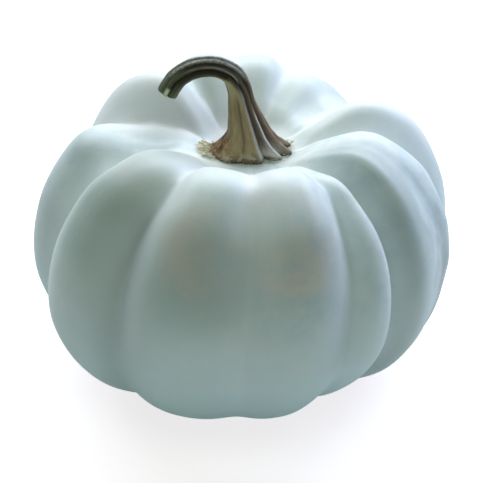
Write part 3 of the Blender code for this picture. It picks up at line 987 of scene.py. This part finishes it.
def stem_finish(mottle, grain):
    """Dried stem: olive-tan faces, brown furrows, pale rubbed ridges, a rusty left foot; painted
    highlight and shade on the arch.
    """
    made, g, place, sockets = new_finish("dried_stem", Specular_IOR_Level=0.25)
    groove, pale, dark, arch_highlight, along, rusty, olive, foot, rim, torn, cut_face = (
        kept_value(g, name)
        for name in (
            "groove", "pale_line", "dark_line", "arch_highlight", "along", "rusty", "olive", "foot", "rim",
            "torn", "cut_face",
        )
    )
    long_way = g.vector("MULTIPLY", kept_value(g, "round", "Vector"), (1.0, 1.0, 1.1))
    fibres = mottled(g, mottle, long_way, clouds=3.4, flecks=17.0, share=0.42, contrast=1.0)
    patches = mottled(g, mottle, place, clouds=430.0, flecks=1500.0, share=0.35, contrast=1.5)
    specks = mottled(g, mottle, place, clouds=1300.0, flecks=3200.0, share=0.4, contrast=1.6)
    pits = g.placed(grain, dict(zip(GRAIN_INPUTS, (place, 1500.0, 0.35, 5200.0, 0.6))))
    upper = g.eased(along, 0.34, 0.50)

    # the sides are brown, and the arch is dark grey-brown and greener at its tip
    face = g.mixed(fibres, (0.15, 0.095, 0.06), (0.37, 0.265, 0.185))
    arch = g.layered(
        g.mixed(fibres, (0.074, 0.053, 0.024), (0.245, 0.185, 0.1)),
        (g.eased(along, 0.70, 0.90), g.mixed(fibres, (0.105, 0.118, 0.06), (0.22, 0.235, 0.14))),
        # a speckled painted highlight along the arch's upper side
        (g.times(arch_highlight, g.eased(specks, 0.1, 0.9)), (0.56, 0.55, 0.5)),
        (g.times(g.eased(specks, 0.75, 1.25), 0.35), (0.42, 0.4, 0.33)),
    )
    # the front face is olive
    front = g.mixed(fibres, (0.27, 0.2, 0.088), (0.53, 0.405, 0.215))
    front = g.mixed(g.times(g.eased(along, 0.33, 0.46), 0.6), front, (0.6, 0.52, 0.26))
    in_groove = g.times(groove, g.times_plus(olive, -0.35, 0.40))
    furrow = g.mixed(upper, (0.12, 0.08, 0.055), (0.032, 0.025, 0.01))
    # the dark lines: darker furrows, and painted shade under the arch
    stained = g.times(dark, g.times_plus(foot, -0.80, 1.0))
    # the left of the foot is rust brown, and its lower edge is patched, crumbly and dark underneath
    patched = g.mixed(g.eased(patches, 0.30, 0.75), (0.13, 0.09, 0.05), (0.48, 0.4, 0.29))
    rust = g.mixed(g.eased(patches, 0.45, 1.0), (0.13, 0.072, 0.036), (0.4, 0.25, 0.135))
    rust = g.mixed(g.times(foot, 0.35), rust, (0.52, 0.35, 0.2))
    # the pale lines: rubbed ridges, and a painted highlight along the top of the arch
    thinned = g.math("POWER", pale, g.times_plus(upper, -0.5, 1.5))
    rubbed = g.times(thinned, g.eased(fibres, -0.3, 0.45))
    flesh = g.mixed(patches, (0.62, 0.66, 0.34), (0.94, 0.96, 0.66))
    colour = g.layered(
        g.mixed(upper, face, arch),
        (olive, front),
        (in_groove, furrow),
        (g.times(stained, g.eased(fibres, -0.4, 0.5)), furrow),
        (g.times(foot, 0.80), patched),
        (g.times(rusty, g.eased(patches, -0.5, 0.4)), rust),
        (rubbed, (0.88, 0.84, 0.81)),
        (g.times(rim, g.eased(patches, -0.1, 0.4)), (0.085, 0.05, 0.036)),
        (g.math("MAXIMUM", cut_face, torn), flesh),
    )
    rough, height = g.times_plus(fibres, 0.18, 0.56), g.times_plus(pits[0], 0.45, fibres)
    put_on(g, sockets, colour, rough, height, distance=0.00030, strength=0.9)
    return made


def fringe_finish(mottle):
    """Frayed, papery dried skin: straw yellow to cream."""
    made, g, place, sockets = new_finish("dried_fringe", Specular_IOR_Level=0.3)
    specks = mottled(g, mottle, place, clouds=900.0, flecks=3000.0, share=0.4, contrast=1.0)
    colour = g.mixed(kept_value(g, "shade"), (0.93, 0.85, 0.59), (0.985, 0.975, 0.9))
    colour = g.mixed(g.times(specks, 0.16), colour, (0.52, 0.39, 0.26))
    rough = g.times_plus(specks, 0.2, 0.62)
    put_on(g, sockets, colour, rough, specks, distance=0.00008, strength=0.6)
    return made


mottle, grain = mottle_group(), grain_group()
middle = (MIDDLE[0] * MM, MIDDLE[1] * MM, 0.0)

fruit = grown(
    "pumpkin_fruit",
    fruit_tree(),
    path_mesh(
        "outline",
        [(radius, 0.0, height) for radius, height, _ in OUTLINE],
        crease_depth=[depth * MM for _, _, depth in OUTLINE],
    ),
    Middle=middle,
    Finish=rind_finish(mottle, grain),
)
stem = grown(
    "pumpkin_stem",
    stem_tree(),
    path_mesh(
        "stem_path",
        [p[:3] for p in STEM_PATH],
        girth=[p[3] * MM for p in STEM_PATH],
        flatness=[p[4] for p in STEM_PATH],
    ),
    Middle=middle,
    Finish=stem_finish(mottle, grain),
)
fringe = grown(
    "stem_fringe",
    fringe_tree(),
    fringe_rim(),
    Centre=((FOOT_X - MIDDLE[0]) * MM, -MIDDLE[1] * MM, SPREAD_HEIGHT * MM),
    Finish=fringe_finish(mottle),
)

for piece, slot in ((fruit, "white_rind"), (stem, "dried_stem"), (fringe, "dried_stem")):
    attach(piece, "root")
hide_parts("fruit")
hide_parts("stem")


# ---------- floor, light and camera
LIT = Vector((0.0, 0.0, 0.04))  # the point that the lights face


def plain_floor(half):
    mesh = bpy.data.meshes.new("floor")
    corners = [(-half, -half, 0.0), (half, -half, 0.0), (half, half, 0.0), (-half, half, 0.0)]
    mesh.from_pydata(corners, [], [(0, 1, 2, 3)])
    piece = new_object("floor", mesh)
    made, g, place, sockets = new_finish("pale_floor", Specular_IOR_Level=0.2, Roughness=0.8)
    colour = g.mixed(g.noise(place, scale=3.0), (0.54, 0.55, 0.555), (0.56, 0.57, 0.575))
    g.tree.links.new(colour, sockets["Base Color"])
    # the floor glows a little on the fruit, and looks nearly white itself
    seen = g.node("ShaderNodeLightPath").outputs["Is Camera Ray"]
    glow = g.mixed(seen, (0.144, 0.203, 0.193), (0.77, 0.73, 0.745))
    g.tree.links.new(glow, sockets["Emission Color"])
    sockets["Emission Strength"].default_value = 1.0
    mesh.materials.append(made)


def soft_light(name, place, size, watts, colour):
    lamp = bpy.data.lights.new(name, "AREA")
    lamp.shape = "RECTANGLE"
    lamp.size, lamp.size_y = size
    lamp.energy, lamp.color = watts, colour
    made = new_object(name, lamp)
    made.location = place
    made.rotation_euler = (LIT - Vector(place)).to_track_quat("-Z", "Y").to_euler()


plain_floor(half=3.0)
for light in (
    # name, place, width and depth, watts and colour
    ("back_light", (0.0, 0.68, 0.74), (2.0, 0.8), 20.0, (0.87, 0.94, 1.0)),
    ("right_back_light", (0.75, 0.45, 0.50), (0.6, 0.6), 3.8, (0.50, 0.60, 1.0)),
    ("top_light", (0.0, -0.40, 0.92), (0.9, 0.5), 2.1, (0.81, 1.0, 0.76)),
):
    soft_light(*light)

world = bpy.data.worlds.new("room")
world.use_nodes = True
world.node_tree.nodes["Background"].inputs["Strength"].default_value = 0.0
bpy.context.scene.world = world

AIM = Vector((0.0003, -0.0002, 0.03145))
ELEVATION = math.radians(34.0)
DISTANCE = 0.45
camera_data = bpy.data.cameras.new("camera")
camera_data.lens = 143.55
camera_data.sensor_width = 36.0
camera_data.clip_start = 0.01
camera = new_object("camera", camera_data)
camera.location = AIM + DISTANCE * Vector((0.0, -math.cos(ELEVATION), math.sin(ELEVATION)))
camera.rotation_euler = (AIM - camera.location).to_track_quat("-Z", "Y").to_euler()
bpy.context.scene.camera = camera
bpy.context.scene.view_settings.view_transform = "Standard"
